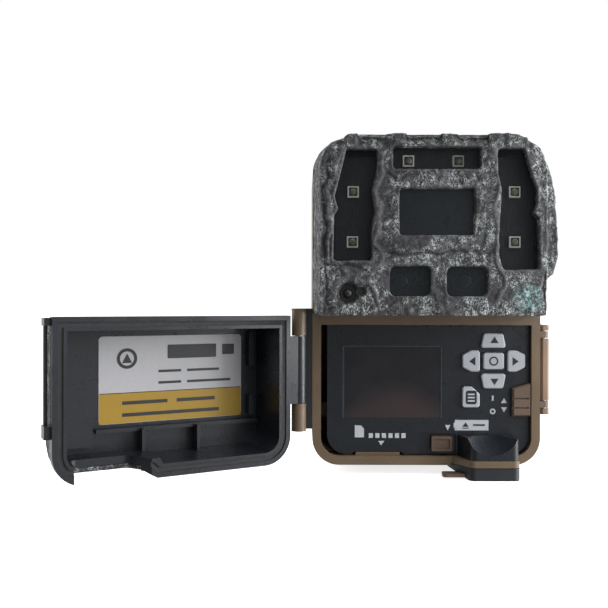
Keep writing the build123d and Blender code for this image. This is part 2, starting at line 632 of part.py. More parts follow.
with BuildPart() as tray_contacts:
    for x, y in CELLS:
        block((x - 3.5, x + 3.5), (y - 3.5, y + 3.5), (9.0, 9.5))
        block((x - 3.5, x + 3.5), (y - 3.5, y + 3.5), (60.0, 60.2))
keep(tray_contacts.part, "tray_contacts")

PULL_TAB = ((4.8, 15.0), (-53.2, -48.8), (0.6, 1.7))

with BuildPart() as tray_cap:
    with BuildSketch(at_y(-30.0)):
        outline([(NOSE_LEFT, BAND_LOW - 0.2), (NOSE_RIGHT, BAND_LOW - 0.2), (NOSE_RIGHT, 0.0),
                 (NOSE_LEFT + 5.2, 0.0), (NOSE_LEFT, 2.8)])
    extrude(amount=30.0)
    with BuildSketch(at_h(0)):
        nose_plan()
        with Locations(((NOSE_LEFT + NOSE_RIGHT) / 2, -34.5)):
            Rectangle(NOSE_RIGHT - NOSE_LEFT, 9.0)
    extrude(amount=BAND_LOW, mode=Mode.INTERSECT)
    block((27.6, 32.0), (-38.0, -29.0), (-1.0, 6.0), Mode.SUBTRACT)
    block(TRAY_X, (TRAY_Y[0] + 0.2, TRAY_Y[1]), (BAND_LOW - 0.6, 7.4))
    block(TRAY_X, (-30.0, TRAY_Y[1]), (0.6, 4.4))
    block(*PULL_TAB, Mode.SUBTRACT)
keep(tray_cap.part, "tray_cap")

with BuildPart() as tray_pull_tab:
    block(*PULL_TAB)
    fillet(tray_pull_tab.edges().filter_by(Axis.Z).group_by(Axis.X)[0], 1.2)
keep(tray_pull_tab.part, "tray_pull_tab")

# ---------------------------------------------------------------- door, built closed and swung open
HINGE_AXIS = Axis((HINGE_X, HINGE_Y, 0), (0, 0, 1))
DOOR_BACK = RIM_Y - DOOR_GAP
SKIN_BACK = -52.0
DOOR_KNUCKLE = (24.7, 46.6)
DOOR_LUGS = ((19.3, 23.0), (50.9, 53.1))
LABEL_Y = FRONT_Y + DOOR_SKIN + DOOR_WALL      # floor inside the door
NOTCH_TOP = 7.8        # step in the door's bottom edge


def door_outline(inset):
    """Door seen from the front, without the step in its bottom edge."""
    left, right, high = DOOR_LEFT + inset, DOOR_RIGHT - inset, DOOR_HIGH - inset
    rectangle(left, right, DOOR_LOW + inset, high, 9.0 - inset)
    rectangle(left, right, DOOR_LOW + 15, high)


def nose_step(inset, mode=Mode.SUBTRACT):
    """Step in the door's bottom edge that clears the nose."""
    outline([(6.2 - inset, 0), (6.2 - inset, DOOR_LOW), (9.4 - inset, NOTCH_TOP + inset),
             (30.0 + inset, NOTCH_TOP + inset), (30.0 + inset, 0)], mode)


def door_form(back, front, inset, taper=0.0):
    """Solid of the door's shape between two depths, with the step cut through it."""
    with BuildPart() as form:
        with BuildSketch(at_y(back)):
            door_outline(inset)
        extrude(amount=back - front, taper=taper)
        with BuildSketch(at_y(back + 1)):
            nose_step(inset, Mode.ADD)
        extrude(amount=back - front + 2, mode=Mode.SUBTRACT)
    return form.part


def door_ring(back, depth):
    """Ring that runs round the door's edge, for the seal and its groove."""
    with BuildPart() as ring:
        with BuildSketch(at_y(back)):
            door_outline(1.5)
            nose_step(1.5)
            offset(amount=-1.5, mode=Mode.SUBTRACT)
        extrude(amount=depth)
    return ring.part


def nose_room():
    """Space the panel's nose takes up inside the closed door."""
    with BuildPart() as room:
        with BuildSketch(at_h(DOOR_LOW - 1)):
            nose_plan(-0.6, NOSE_LEFT - 0.8)
        extrude(amount=NOSE_TOP + 0.8 - DOOR_LOW + 1)
    return room.part


def keep_open(part, name):
    """Swing a piece of the closed door to where the door stands, and write it."""
    keep(part.rotate(HINGE_AXIS, DOOR_OPEN), name)


with BuildPart() as door_shell:
    add(door_form(DOOR_BACK, SKIN_BACK, 0.0))
    add(door_form(SKIN_BACK, FRONT_Y + DOOR_SKIN, DOOR_SKIN + 0.3, DOOR_TAPER))
    add(door_ring(DOOR_BACK, 1.6), mode=Mode.SUBTRACT)
    add(door_form(DOOR_BACK, LABEL_Y, 4.0, 2.0), mode=Mode.SUBTRACT)
    add(nose_room(), mode=Mode.SUBTRACT)
    # knuckle on the hinge side
    post(HINGE_X, HINGE_Y, DOOR_KNUCKLE, HINGE_R)
    block((HINGE_X, DOOR_LEFT + 1.2), (-52.0, HINGE_Y + 2.0), DOOR_KNUCKLE)
    post(HINGE_X, HINGE_Y, (DOOR_KNUCKLE[0] - 1, DOOR_KNUCKLE[1] + 1), HINGE_PIN_R + 0.05, Mode.SUBTRACT)
    # latch bar between two lugs on the free edge
    for low, high in DOOR_LUGS:
        block((35.0, 37.8), (-55.0, -50.4), (low, high))
    block((36.4, 37.4), (-55.0, -53.2), (DOOR_LUGS[0][0], DOOR_LUGS[1][1]))
    # ribs on the floor
    block((6.4, 7.4), (-65.2, -60.0), (10.6, 18.6))
    block((-11.4, -10.4), (-65.2, -60.0), (9.0, 18.6))
    block((-32.4, 20.8), (-65.2, -62.4), (17.8, 19.0))
    # ledges beside the label
    block((21.8, 33.0), (-65.2, -62.6), (14.0, 50.6))
    block((-31.0, -29.4), (-65.2, -62.2), (36.5, 47.6))
    block((-31.0, -29.4), (-65.2, -62.2), (20.4, 26.8))
keep_open(door_shell.part, "door_shell")

with BuildPart() as door_skin:
    add(door_form(SKIN_BACK, FRONT_Y, 0.2, DOOR_TAPER))
    add(door_form(SKIN_BACK, FRONT_Y + DOOR_SKIN, DOOR_SKIN + 0.3, DOOR_TAPER), mode=Mode.SUBTRACT)
    block((-45.0, -34.0), (-52.6, -51.0), (DOOR_KNUCKLE[0] - 0.3, DOOR_KNUCKLE[1] + 0.3), Mode.SUBTRACT)
    for low, high in DOOR_LUGS:
        block((34.0, 39.0), (-55.4, -50.0), (low - 0.3, high + 0.3), Mode.SUBTRACT)
    add(nose_room(), mode=Mode.SUBTRACT)
keep_open(door_skin.part, "door_skin")

with BuildPart() as door_seal:
    add(door_ring(DOOR_BACK - 0.4, 1.2))
    add(nose_room(), mode=Mode.SUBTRACT)
keep_open(door_seal.part, "door_seal")

LABEL = (-27.5, 19.6, 20.1, 47.0)

with BuildPart() as info_label:
    with BuildSketch(at_y(LABEL_Y + 0.2)):
        rectangle(*LABEL, 1.2)
    extrude(amount=0.2)
keep_open(info_label.part, "info_label")

# ---------------------------------------------------------------- latch lever, folded back
with BuildPart() as latch_lever:
    with BuildSketch(at_h(20.0)):
        plan([(39.3, LATCH_Y + 1.4), (39.3, -32.4), (41.2, -30.0), (43.4, -30.0), (43.4, -31.2),
              (41.9, -31.6), (42.2, -36.0), (42.2, LATCH_Y - 0.6), (41.4, LATCH_Y - 1.5),
              (39.9, LATCH_Y - 1.5), (39.3, LATCH_Y - 0.8)])
    extrude(amount=30.2)
    for low, high in LATCH_LUGS:
        block((38.0, 43.0), (LATCH_Y - 3.0, LATCH_Y + 2.2), (low - 0.25, high + 0.25), Mode.SUBTRACT)
    post(LATCH_X, LATCH_Y, (19.0, 51.0), LATCH_PIN_R + 0.04, Mode.SUBTRACT)
    # grip ends narrower than the lever
    for low, high in ((19.0, 24.0), (46.5, 51.0)):
        block((40.0, 46.0), (-32.0, -29.0), (low, high), Mode.SUBTRACT)
keep(latch_lever.part, "latch_lever")
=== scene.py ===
import json
import math

import bmesh
import bpy
import numpy as np
from mathutils import Matrix, Vector
from mathutils.bvhtree import BVHTree


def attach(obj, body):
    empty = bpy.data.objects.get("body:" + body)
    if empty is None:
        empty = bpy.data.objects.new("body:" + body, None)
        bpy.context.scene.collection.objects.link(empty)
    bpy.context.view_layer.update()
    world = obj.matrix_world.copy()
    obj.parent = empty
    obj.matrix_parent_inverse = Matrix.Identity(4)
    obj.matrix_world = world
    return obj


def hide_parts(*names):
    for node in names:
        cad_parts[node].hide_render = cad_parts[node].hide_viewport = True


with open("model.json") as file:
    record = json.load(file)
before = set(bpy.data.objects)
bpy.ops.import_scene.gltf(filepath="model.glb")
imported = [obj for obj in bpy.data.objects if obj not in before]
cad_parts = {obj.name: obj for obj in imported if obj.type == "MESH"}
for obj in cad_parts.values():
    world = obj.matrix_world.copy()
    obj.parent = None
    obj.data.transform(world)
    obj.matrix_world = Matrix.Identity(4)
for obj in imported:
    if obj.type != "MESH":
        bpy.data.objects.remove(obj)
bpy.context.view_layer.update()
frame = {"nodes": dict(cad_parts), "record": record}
nodes = frame["nodes"]

MM = 0.001
BASE = -72.0            # millimetres from the tripod socket down to the base
FRONT_Y = -68.0         # front of the bark cover and of the closed door
RIM_Y = -48.0
HINGE = (-42.5, -51.7)
DOOR_OPEN = math.radians(-151.5)
WINDOW_Y = -66.2        # faces of the windows in the bark cover
SENSOR_Y = -64.0        # faces of the light sensor and the status light
DOOR_MOUTH_Y = -52.0    # where the closed door's side walls begin to lean in
COVER_TOP = 111.8
COVER_LOW = 54.0
COVER_DROP = 0.4        # how much lower the cover's lower edge is at the front
CORNER = 11.0           # radius of the cover's upper corners
FOCAL_LENGTH = 44.1089
SENSOR_WIDTH = 36.0
EYE = (-40.85, -296.4, -14.89)
EYE_ROLL = 0.0025


# ---------------------------------------------------------------- materials
class Finish:
    """Builds one node material from noises measured in millimetres."""

    def __init__(self, name, roughness=0.5, metallic=0.0):
        self.material = bpy.data.materials.new(name)
        self.material.use_nodes = True
        self.tree = self.material.node_tree
        self.tree.nodes.clear()
        self.output = self.tree.nodes.new("ShaderNodeOutputMaterial")
        self.shader = self.tree.nodes.new("ShaderNodeBsdfPrincipled")
        self.shader.inputs["Roughness"].default_value = roughness
        self.shader.inputs["Metallic"].default_value = metallic
        self.tree.links.new(self.shader.outputs[0], self.output.inputs[0])
        self.place = self.tree.nodes.new("ShaderNodeTexCoord").outputs["Object"]
        self.relief = None

    def put(self, socket, value):
        if isinstance(value, bpy.types.NodeSocket):
            self.tree.links.new(value, socket)
        elif isinstance(value, tuple):
            socket.default_value = value if len(value) == len(socket.default_value) else (*value, 1.0)
        else:
            socket.default_value = value

    def noise(self, size, detail=3.0, rough=0.55, distortion=0.0, stretch=None):
        node = self.tree.nodes.new("ShaderNodeTexNoise")
        vector = self.place
        if stretch:
            vector = self.stretched(stretch)
        self.put(node.inputs["Vector"], vector)
        node.inputs["Scale"].default_value = 1000.0 / size
        node.inputs["Detail"].default_value = detail
        node.inputs["Roughness"].default_value = rough
        node.inputs["Distortion"].default_value = distortion
        return node.outputs["Fac"]

    def stretched(self, scale):
        node = self.tree.nodes.new("ShaderNodeMapping")
        self.put(node.inputs["Vector"], self.place)
        node.inputs["Scale"].default_value = scale
        return node.outputs["Vector"]

    def cells(self, size, feature="F1", stretch=None):
        node = self.tree.nodes.new("ShaderNodeTexVoronoi")
        node.feature = feature
        self.put(node.inputs["Vector"], self.stretched(stretch) if stretch else self.place)
        node.inputs["Scale"].default_value = 1000.0 / size
        return node.outputs["Distance"]

    def ramp(self, value, *stops):
        """Colour or grey ramp; each stop is (position, grey or colour)."""
        node = self.tree.nodes.new("ShaderNodeValToRGB")
        self.put(node.inputs["Fac"], value)
        elements = node.color_ramp.elements
        while len(elements) < len(stops):
            elements.new(0.5)
        for element, (position, colour) in zip(elements, stops):
            element.position = position
            element.color = (*colour, 1.0) if isinstance(colour, tuple) else (colour, colour, colour, 1.0)
        return node.outputs["Color"]

    def mix(self, share, first, second, blend="MIX"):
        node = self.tree.nodes.new("ShaderNodeMix")
        node.data_type = "RGBA"
        node.blend_type = blend
        node.clamp_factor = True
        self.put(node.inputs[0], share)
        self.put(node.inputs[6], first)
        self.put(node.inputs[7], second)
        return node.outputs[2]

    def sum(self, operation, first, second=0.0):
        node = self.tree.nodes.new("ShaderNodeMath")
        node.operation = operation
        self.put(node.inputs[0], first)
        self.put(node.inputs[1], second)
        return node.outputs[0]

    def axis(self, index):
        node = self.tree.nodes.new("ShaderNodeSeparateXYZ")
        self.put(node.inputs[0], self.place)
        return node.outputs[index]

    def attribute(self, name):
        node = self.tree.nodes.new("ShaderNodeAttribute")
        node.attribute_name = name
        return node.outputs["Fac"]

    def colour(self, value):
        self.put(self.shader.inputs["Base Color"], value)

    def rough(self, value):
        self.put(self.shader.inputs["Roughness"], value)

    def bump(self, height, depth, strength=1.0):
        """Adds relief of this depth in millimetres to the surface."""
        node = self.tree.nodes.new("ShaderNodeBump")
        node.inputs["Strength"].default_value = strength
        node.inputs["Distance"].default_value = depth * MM
        self.put(node.inputs["Height"], height)
        if self.relief:
            self.put(node.inputs["Normal"], self.relief)
        self.relief = node.outputs["Normal"]
        self.put(self.shader.inputs["Normal"], self.relief)


def shades(colour, share):
    """A darker and a lighter tone of a colour."""
    return tuple(c * (1 - share) for c in colour), tuple(min(1.0, c * (1 + share)) for c in colour)


def moulded(name, colour, roughness, grain=0.02, spread=0.12, dust=0.10):
    """Moulded plastic: flow shading, fine spark grain, faint scuffs and dust."""
    f = Finish(name, roughness)
    dark, light = shades(colour, spread)
    tone = f.ramp(f.noise(14.0, 3), (0.3, dark), (0.72, light))
    scuff = f.ramp(f.noise(2.2, 5, 0.75, 0.6, (0.35, 1.0, 1.0)), (0.62, 0.0), (0.80, 1.0))
    pale = tuple(c + dust * (0.5 - 0.5 * c) for c in colour)
    f.colour(f.mix(f.sum("MULTIPLY", scuff, 0.35), tone, pale))
    f.rough(f.ramp(f.noise(5.0, 4, 0.65), (0.3, roughness - 0.07), (0.75, roughness + 0.09)))
    f.bump(f.noise(0.32, 2, 0.6), grain, 0.8)
    f.bump(f.noise(9.0, 2), 0.05, 0.4)
    return f.material


def metal(name, colour, roughness, stretch=(1.0, 1.0, 12.0)):
    """Turned or stamped metal with fine drawing lines and slight tarnish."""
    f = Finish(name, roughness, 1.0)
    dark, light = shades(colour, 0.18)
    f.colour(f.ramp(f.noise(3.0, 4, 0.7), (0.3, dark), (0.7, light)))
    f.rough(f.ramp(f.noise(1.2, 4, 0.6, 0.0, stretch), (0.3, roughness - 0.06), (0.7, roughness + 0.12)))
    f.bump(f.noise(0.5, 2, 0.6, 0.0, stretch), 0.01, 0.7)
    return f.material


def bark(name):
    """Printed bark film: dark plates with dense pale lichen flecks, plain ridges and deep cracks."""
    f = Finish(name, 0.6)
    base = f.ramp(f.noise(5.0, 5, 0.65, 0.4), (0.36, (0.004, 0.004, 0.006)), (0.50, (0.014, 0.014, 0.017)),
                  (0.66, (0.048, 0.046, 0.053)))
    strands = f.noise(1.7, 7, 0.80, 2.6, (1.25, 1.25, 0.85))
    flecks = f.ramp(strands, (0.508, 0.0), (0.518, 1.0))
    clusters = f.ramp(f.noise(6.0, 3, 0.6, 0.8), (0.42, 0.12), (0.54, 1.0))
    lichen = f.ramp(f.noise(2.4, 4, 0.7), (0.30, (0.11, 0.115, 0.12)), (0.46, (0.22, 0.235, 0.235)),
                    (0.58, (0.56, 0.61, 0.62)), (0.70, (0.24, 0.26, 0.19)))
    plain = f.attribute("plain")
    open_bark = f.sum("SUBTRACT", 1.0, plain)
    shown = f.sum("MULTIPLY", f.sum("MULTIPLY", flecks, clusters), open_bark)
    colour = f.mix(shown, base, lichen)
    specks = f.ramp(f.noise(0.9, 4, 0.75, 1.8), (0.40, 1.0), (0.46, 0.0))
    pits = f.sum("MULTIPLY", specks, f.sum("MULTIPLY", open_bark, 0.9))
    colour = f.mix(pits, colour, (0.006, 0.006, 0.007))
    ridge = f.ramp(f.noise(1.1, 6, 0.8), (0.40, (0.022, 0.021, 0.024)), (0.60, (0.150, 0.146, 0.158)))
    colour = f.mix(f.sum("MULTIPLY", plain, 0.9), colour, ridge)
    node = f.tree.nodes.new("ShaderNodeVectorMath")
    node.operation = "DISTANCE"
    f.put(node.inputs[0], f.place)
    node.inputs[1].default_value = point(28.0, FRONT_Y, 58.8)
    near = f.ramp(f.sum("MULTIPLY", node.outputs["Value"], 100.0), (0.22, 1.0), (0.52, 0.0))
    spots = f.ramp(f.noise(1.6, 5, 0.75, 1.6), (0.49, 0.0), (0.54, 1.0))
    colour = f.mix(f.sum("MULTIPLY", near, spots), colour, (0.30, 0.56, 0.55))
    # Darkens the printed cracks and plate gaps, and paints shade into the ring round the light sensor and the
    # status light.
    colour = f.mix(f.attribute("darkening"), colour, (0.008, 0.007, 0.009))
    f.colour(colour)
    f.rough(f.ramp(f.noise(3.0, 3), (0.3, 0.55), (0.7, 0.75)))
    f.bump(strands, 0.20, 0.8)
    f.bump(f.noise(0.6, 3, 0.75, 0.8), 0.08, 0.7)
    return f.material


def smoked(name, tint):
    """Smoked window: dark tint that lets some light through, with a satin face."""
    f = Finish(name, 0.26)
    f.colour(f.ramp(f.noise(20.0, 2), (0.3, (0.018, 0.023, 0.029)), (0.7, (0.023, 0.029, 0.036))))
    f.rough(f.ramp(f.noise(6.0, 4, 0.7), (0.4, 0.22), (0.75, 0.30)))
    f.shader.inputs["Alpha"].default_value = tint
    f.bump(f.noise(12.0, 2), 0.01, 0.3)
    return f.material


def screen(name):
    """Display glass: near black, with a painted warm reflection over its lower part, inside an arc."""
    f = Finish(name, 0.20)
    height = f.sum("MULTIPLY_ADD", f.axis(2), 1000.0)
    height.node.inputs[2].default_value = -BASE
    across = f.sum("MULTIPLY_ADD", f.axis(0), 1000.0)
    across.node.inputs[2].default_value = 10.0
    arc = f.sum("ADD", height, f.sum("MULTIPLY", f.sum("MULTIPLY", across, across), 0.03))
    # painted reflection: a warm brownish cast over the lower part of the glass, bounded by an arc
    painted_reflection = f.ramp(f.sum("DIVIDE", arc, 60.0), (0.40, 1.0), (0.53, 0.0))
    low = f.mix(f.noise(10.0, 2), (0.034, 0.024, 0.026), (0.046, 0.032, 0.032))
    high = f.ramp(f.noise(12.0, 3), (0.3, (0.010, 0.010, 0.013)), (0.7, (0.018, 0.018, 0.022)))
    f.colour(f.mix(painted_reflection, high, low))
    f.rough(f.ramp(f.noise(4.0, 5, 0.7), (0.4, 0.16), (0.8, 0.26)))
    return f.material


def board(name, colour, track):
    """Circuit board with solder mask over tracks."""
    f = Finish(name, 0.4)
    lines = f.ramp(f.cells(2.4, "DISTANCE_TO_EDGE", (1.0, 1.0, 0.35)), (0.04, 1.0), (0.09, 0.0))
    dark, light = shades(colour, 0.15)
    f.colour(f.mix(lines, f.ramp(f.noise(9.0, 2), (0.3, dark), (0.7, light)), track))
    f.rough(f.ramp(f.noise(3.0, 3), (0.3, 0.32), (0.7, 0.46)))
    f.bump(lines, 0.03, 0.7)
    return f.material


def rubber(name, colour):
    f = Finish(name, 0.72)
    dark, light = shades(colour, 0.2)
    f.colour(f.ramp(f.noise(3.0, 4), (0.3, dark), (0.7, light)))
    f.rough(f.ramp(f.noise(1.5, 3), (0.3, 0.66), (0.7, 0.82)))
    f.bump(f.noise(0.4, 2), 0.02, 0.8)
    return f.material


def printed(name, colour, roughness=0.45, wear=0.10):
    """Ink or paper: thin print with slight mottling and rubbed spots."""
    f = Finish(name, roughness)
    dark, light = shades(colour, wear)
    f.colour(f.ramp(f.noise(0.9, 5, 0.75), (0.3, dark), (0.75, light)))
    f.rough(f.ramp(f.noise(2.5, 3), (0.3, roughness - 0.05), (0.7, roughness + 0.08)))
    f.bump(f.noise(0.25, 2), 0.006, 0.6)
    return f.material


def can(name):
    """Battery wrap with a copper band at one end, along the cell's height."""
    f = Finish(name, 0.3, 0.55)
    height = f.sum("MULTIPLY_ADD", f.axis(2), 1000.0)
    height.node.inputs[2].default_value = -BASE
    band = f.ramp(f.sum("DIVIDE", height, 80.0), (0.555, 0.0), (0.565, 1.0))
    wrap = f.ramp(f.noise(6.0, 3), (0.3, (0.018, 0.018, 0.022)), (0.7, (0.035, 0.035, 0.042)))
    f.colour(f.mix(band, wrap, (0.52, 0.27, 0.12)))
    f.rough(f.ramp(f.noise(3.0, 4), (0.3, 0.24), (0.7, 0.38)))
    f.bump(f.noise(2.0, 3), 0.02, 0.4)
    return f.material


def point(x, y, h):
    """Scene position of a place given in millimetres, with its height above the base."""
    return Vector((x, y, BASE + h)) * MM


FINISHES = {
    "brown_plastic": moulded("brown_plastic", (0.150, 0.104, 0.064), 0.42),
    "bark_shell": bark("bark_film"),
    "black_plastic": moulded("black_plastic", (0.018, 0.021, 0.026), 0.40, dust=0.06),
    "smoked_window": smoked("smoked_window", 0.17),
    "display_module": board("display_module", (0.05, 0.05, 0.055), (0.09, 0.09, 0.09)),
    "circuit_board": board("circuit_board", (0.012, 0.075, 0.028), (0.03, 0.14, 0.05)),
    "black_board": board("black_board", (0.006, 0.007, 0.008), (0.012, 0.013, 0.015)),
    "rubber_seal": rubber("rubber_seal", (0.018, 0.018, 0.020)),
    "switch_metal": metal("switch_metal", (0.58, 0.58, 0.60), 0.34),
    "contact_metal": metal("contact_metal", (0.66, 0.63, 0.57), 0.30),
    "led_reflector": moulded("led_reflector", (0.90, 0.88, 0.80), 0.30, spread=0.05),
    "lens_plastic": moulded("lens_plastic", (0.012, 0.013, 0.016), 0.30),
    "lens_barrel": moulded("lens_barrel", (0.012, 0.012, 0.014), 0.34),
    "sensor_dome": moulded("sensor_dome", (0.014, 0.015, 0.013), 0.42, grain=0.004),
    "brass_insert": metal("brass_insert", (0.75, 0.53, 0.24), 0.28),
    "steel_hardware": metal("steel_hardware", (0.60, 0.60, 0.62), 0.32),
    "paper_label": printed("paper_label", (0.42, 0.42, 0.44), 0.40, 0.05),
    "tan_plastic": moulded("tan_plastic", (0.26, 0.18, 0.125), 0.46),
    "grey_key": moulded("grey_key", (0.42, 0.445, 0.48), 0.46, spread=0.06),
    "brown_control": moulded("brown_control", (0.125, 0.082, 0.058), 0.42),
    "battery_can": can("battery_can"),
    "card_plastic": moulded("card_plastic", (0.014, 0.014, 0.016), 0.5),
}
for part in frame["record"]["subparts"]:
    mesh = nodes[part["node"]].data
    mesh.materials.clear()
    mesh.materials.append(FINISHES[part["material_slot"]])

GLOSSY = moulded("glossy_black", (0.012, 0.015, 0.020), 0.30, dust=0.04)
DENSE = smoked("dense_smoked_window", 0.46)
SPECIAL = {
    "lcd_window": screen("display_glass"),
    "day_lens_window": DENSE,
    "night_lens_window": DENSE,
    "sensor_window": DENSE,
    "door_shell": GLOSSY,
    "control_panel": GLOSSY,
}
for name, finish in SPECIAL.items():
    nodes[name].data.materials.clear()
    nodes[name].data.materials.append(finish)


# ---------------------------------------------------------------- noise in numpy, for relief in the mesh
def lattice(places, size, seed):
    """Smooth value noise from -1 to 1 with cells of this size."""
    table = np.random.default_rng(seed).uniform(-1.0, 1.0, 65536)
    scaled = places / size
    cell = np.floor(scaled).astype(np.int64)
    part = scaled - cell
    part = part * part * (3 - 2 * part)
    total = np.zeros(len(places))
    for corner in range(8):
        step = np.array([corner & 1, (corner >> 1) & 1, (corner >> 2) & 1])
        at = cell + step
        key = (at[:, 0] * 73856093 ^ at[:, 1] * 19349663 ^ at[:, 2] * 83492791) & 65535
        weight = np.prod(np.where(step, part, 1 - part), axis=1)
        total += weight * table[key]
    return total


def rough_noise(places, size, seed, octaves=3):
    total = np.zeros(len(places))
    for octave in range(octaves):
        total += lattice(places, size / 2 ** octave, seed + octave) * 0.55 ** octave
    return total


def plate_edges(places, size, seed):
    """Distance to the cracks between bark plates, in cells."""
    table = np.random.default_rng(seed).uniform(0.0, 1.0, (65536, 3))
    scaled = places / size
    cell = np.floor(scaled).astype(np.int64)
    near = np.full((len(places), 2), 9.0)
    for dx in (-1, 0, 1):
        for dy in (-1, 0, 1):
            for dz in (-1, 0, 1):
                at = cell + np.array([dx, dy, dz])
                key = (at[:, 0] * 73856093 ^ at[:, 1] * 19349663 ^ at[:, 2] * 83492791) & 65535
                far = np.linalg.norm(at + table[key] - scaled, axis=1)
                closer = far < near[:, 0]
                near[:, 1] = np.where(closer, near[:, 0], np.minimum(near[:, 1], far))
                near[:, 0] = np.where(closer, far, near[:, 0])
    return near[:, 1] - near[:, 0]


def step(low, high, value):
    part = np.clip((value - low) / (high - low), 0.0, 1.0)
    return part * part * (3 - 2 * part)


def nearness(places, names, depth):
    """Distance in millimetres from each place to the outline of CAD windows, seen from the front."""
    verts, faces = [], []
    for name in names:
        mesh = nodes[name].data
        start = len(verts)
        verts += [v.co * 1000 for v in mesh.vertices]
        faces += [[start + i for i in p.vertices] for p in mesh.polygons]
    tree = BVHTree.FromPolygons(verts, faces)
    return np.array([tree.find_nearest((x, depth, z))[3] for x, _, z in places])


def line_distance(x, h, points):
    """Distance in the front view to a run of straight pieces."""
    best = np.full(len(x), 99.0)
    for (x0, h0), (x1, h1) in zip(points, points[1:]):
        dx, dh = x1 - x0, h1 - h0
        along = np.clip(((x - x0) * dx + (h - h0) * dh) / (dx * dx + dh * dh), 0, 1)
        best = np.minimum(best, np.hypot(x - x0 - along * dx, h - h0 - along * dh))
    return best


def even_copy(node, voxel):
    """The CAD node's shape as an even fine mesh, in a new object."""
    source = bpy.data.objects.new(node + "_even", nodes[node].data.copy())
    bpy.context.scene.collection.objects.link(source)
    remesh = source.modifiers.new("remesh", "REMESH")
    remesh.mode = "VOXEL"
    remesh.voxel_size = voxel * MM
    bpy.context.view_layer.update()
    shape = source.evaluated_get(bpy.context.evaluated_depsgraph_get())
    mesh = bpy.data.meshes.new_from_object(shape)
    bpy.data.objects.remove(source)
    return mesh


def arrays(mesh):
    """Vertex places and normals of a mesh, in millimetres."""
    co = np.zeros(len(mesh.vertices) * 3)
    mesh.vertices.foreach_get("co", co)
    normal = np.zeros(len(mesh.vertices) * 3, np.float32)
    mesh.vertices.foreach_get("normal", normal)
    return co.reshape(-1, 3) * 1000, normal.reshape(-1, 3).astype(float)


def finish_bark(name, mesh, places, plain, darkening, node, body):
    """Writes the moved places and the colour masks, and puts the piece in the scene."""
    mesh.vertices.foreach_set("co", (places * MM).astype(np.float32).ravel())
    for label, values in (("plain", plain), ("darkening", darkening)):
        layer = mesh.attributes.new(label, "FLOAT", "POINT")
        layer.data.foreach_set("value", np.clip(values, 0, 1).astype(np.float32))
    mesh.shade_smooth()
    mesh.materials.clear()
    mesh.materials.append(FINISHES["bark_shell"])
    mesh.update()
    piece = bpy.data.objects.new(name, mesh)
    bpy.context.scene.collection.objects.link(piece)
    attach(piece, body)
    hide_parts(node)


# ---------------------------------------------------------------- bark cover
LONG_RIDGES = (
    ((-17.6, 103.5), (-17.4, 97.0), (-18.9, 93.0), (-19.0, 90.5), (-18.0, 86.5), (-18.2, 83.0), (-19.2, 79.5),
     (-19.2, 76.0), (-18.0, 73.5), (-17.8, 71.0), (-19.4, 68.0), (-20.4, 64.0), (-19.2, 60.0), (-17.2, 57.0)),
    ((17.7, 103.8), (17.6, 97.8), (19.0, 95.0), (19.3, 92.0), (18.6, 88.6), (17.9, 86.0), (18.1, 82.0),
     (18.2, 78.0), (18.4, 74.4), (18.8, 70.2), (20.2, 66.8), (20.6, 63.5), (19.4, 60.0), (17.6, 55.6)),
    ((-29.2, 105.6), (-31.3, 100.0), (-32.8, 95.0), (-33.0, 88.0), (-33.3, 80.0), (-33.3, 70.0)),
)
CREST = ((-28.5, -24.5), (-15.6, -9.4), (1.1, 6.4), (15.8, 28.0))    # runs of the top edge that stand higher
CRACKS = (
    ((-35.0, 69.0), (-31.0, 68.4), (-26.0, 69.0), (-21.8, 68.3)),
    ((-33.6, 103.0), (-34.6, 94.0), (-34.2, 84.0), (-34.8, 72.0), (-34.2, 60.0), (-34.8, 55.0)),
    ((-15.5, 73.6), (-8.0, 72.2), (0.0, 73.4), (8.0, 72.4), (15.8, 73.6)),
    ((-16.0, 96.5), (-12.0, 95.4), (-9.0, 96.6)),
    ((33.0, 66.0), (31.5, 62.0), (32.8, 58.0)),
)


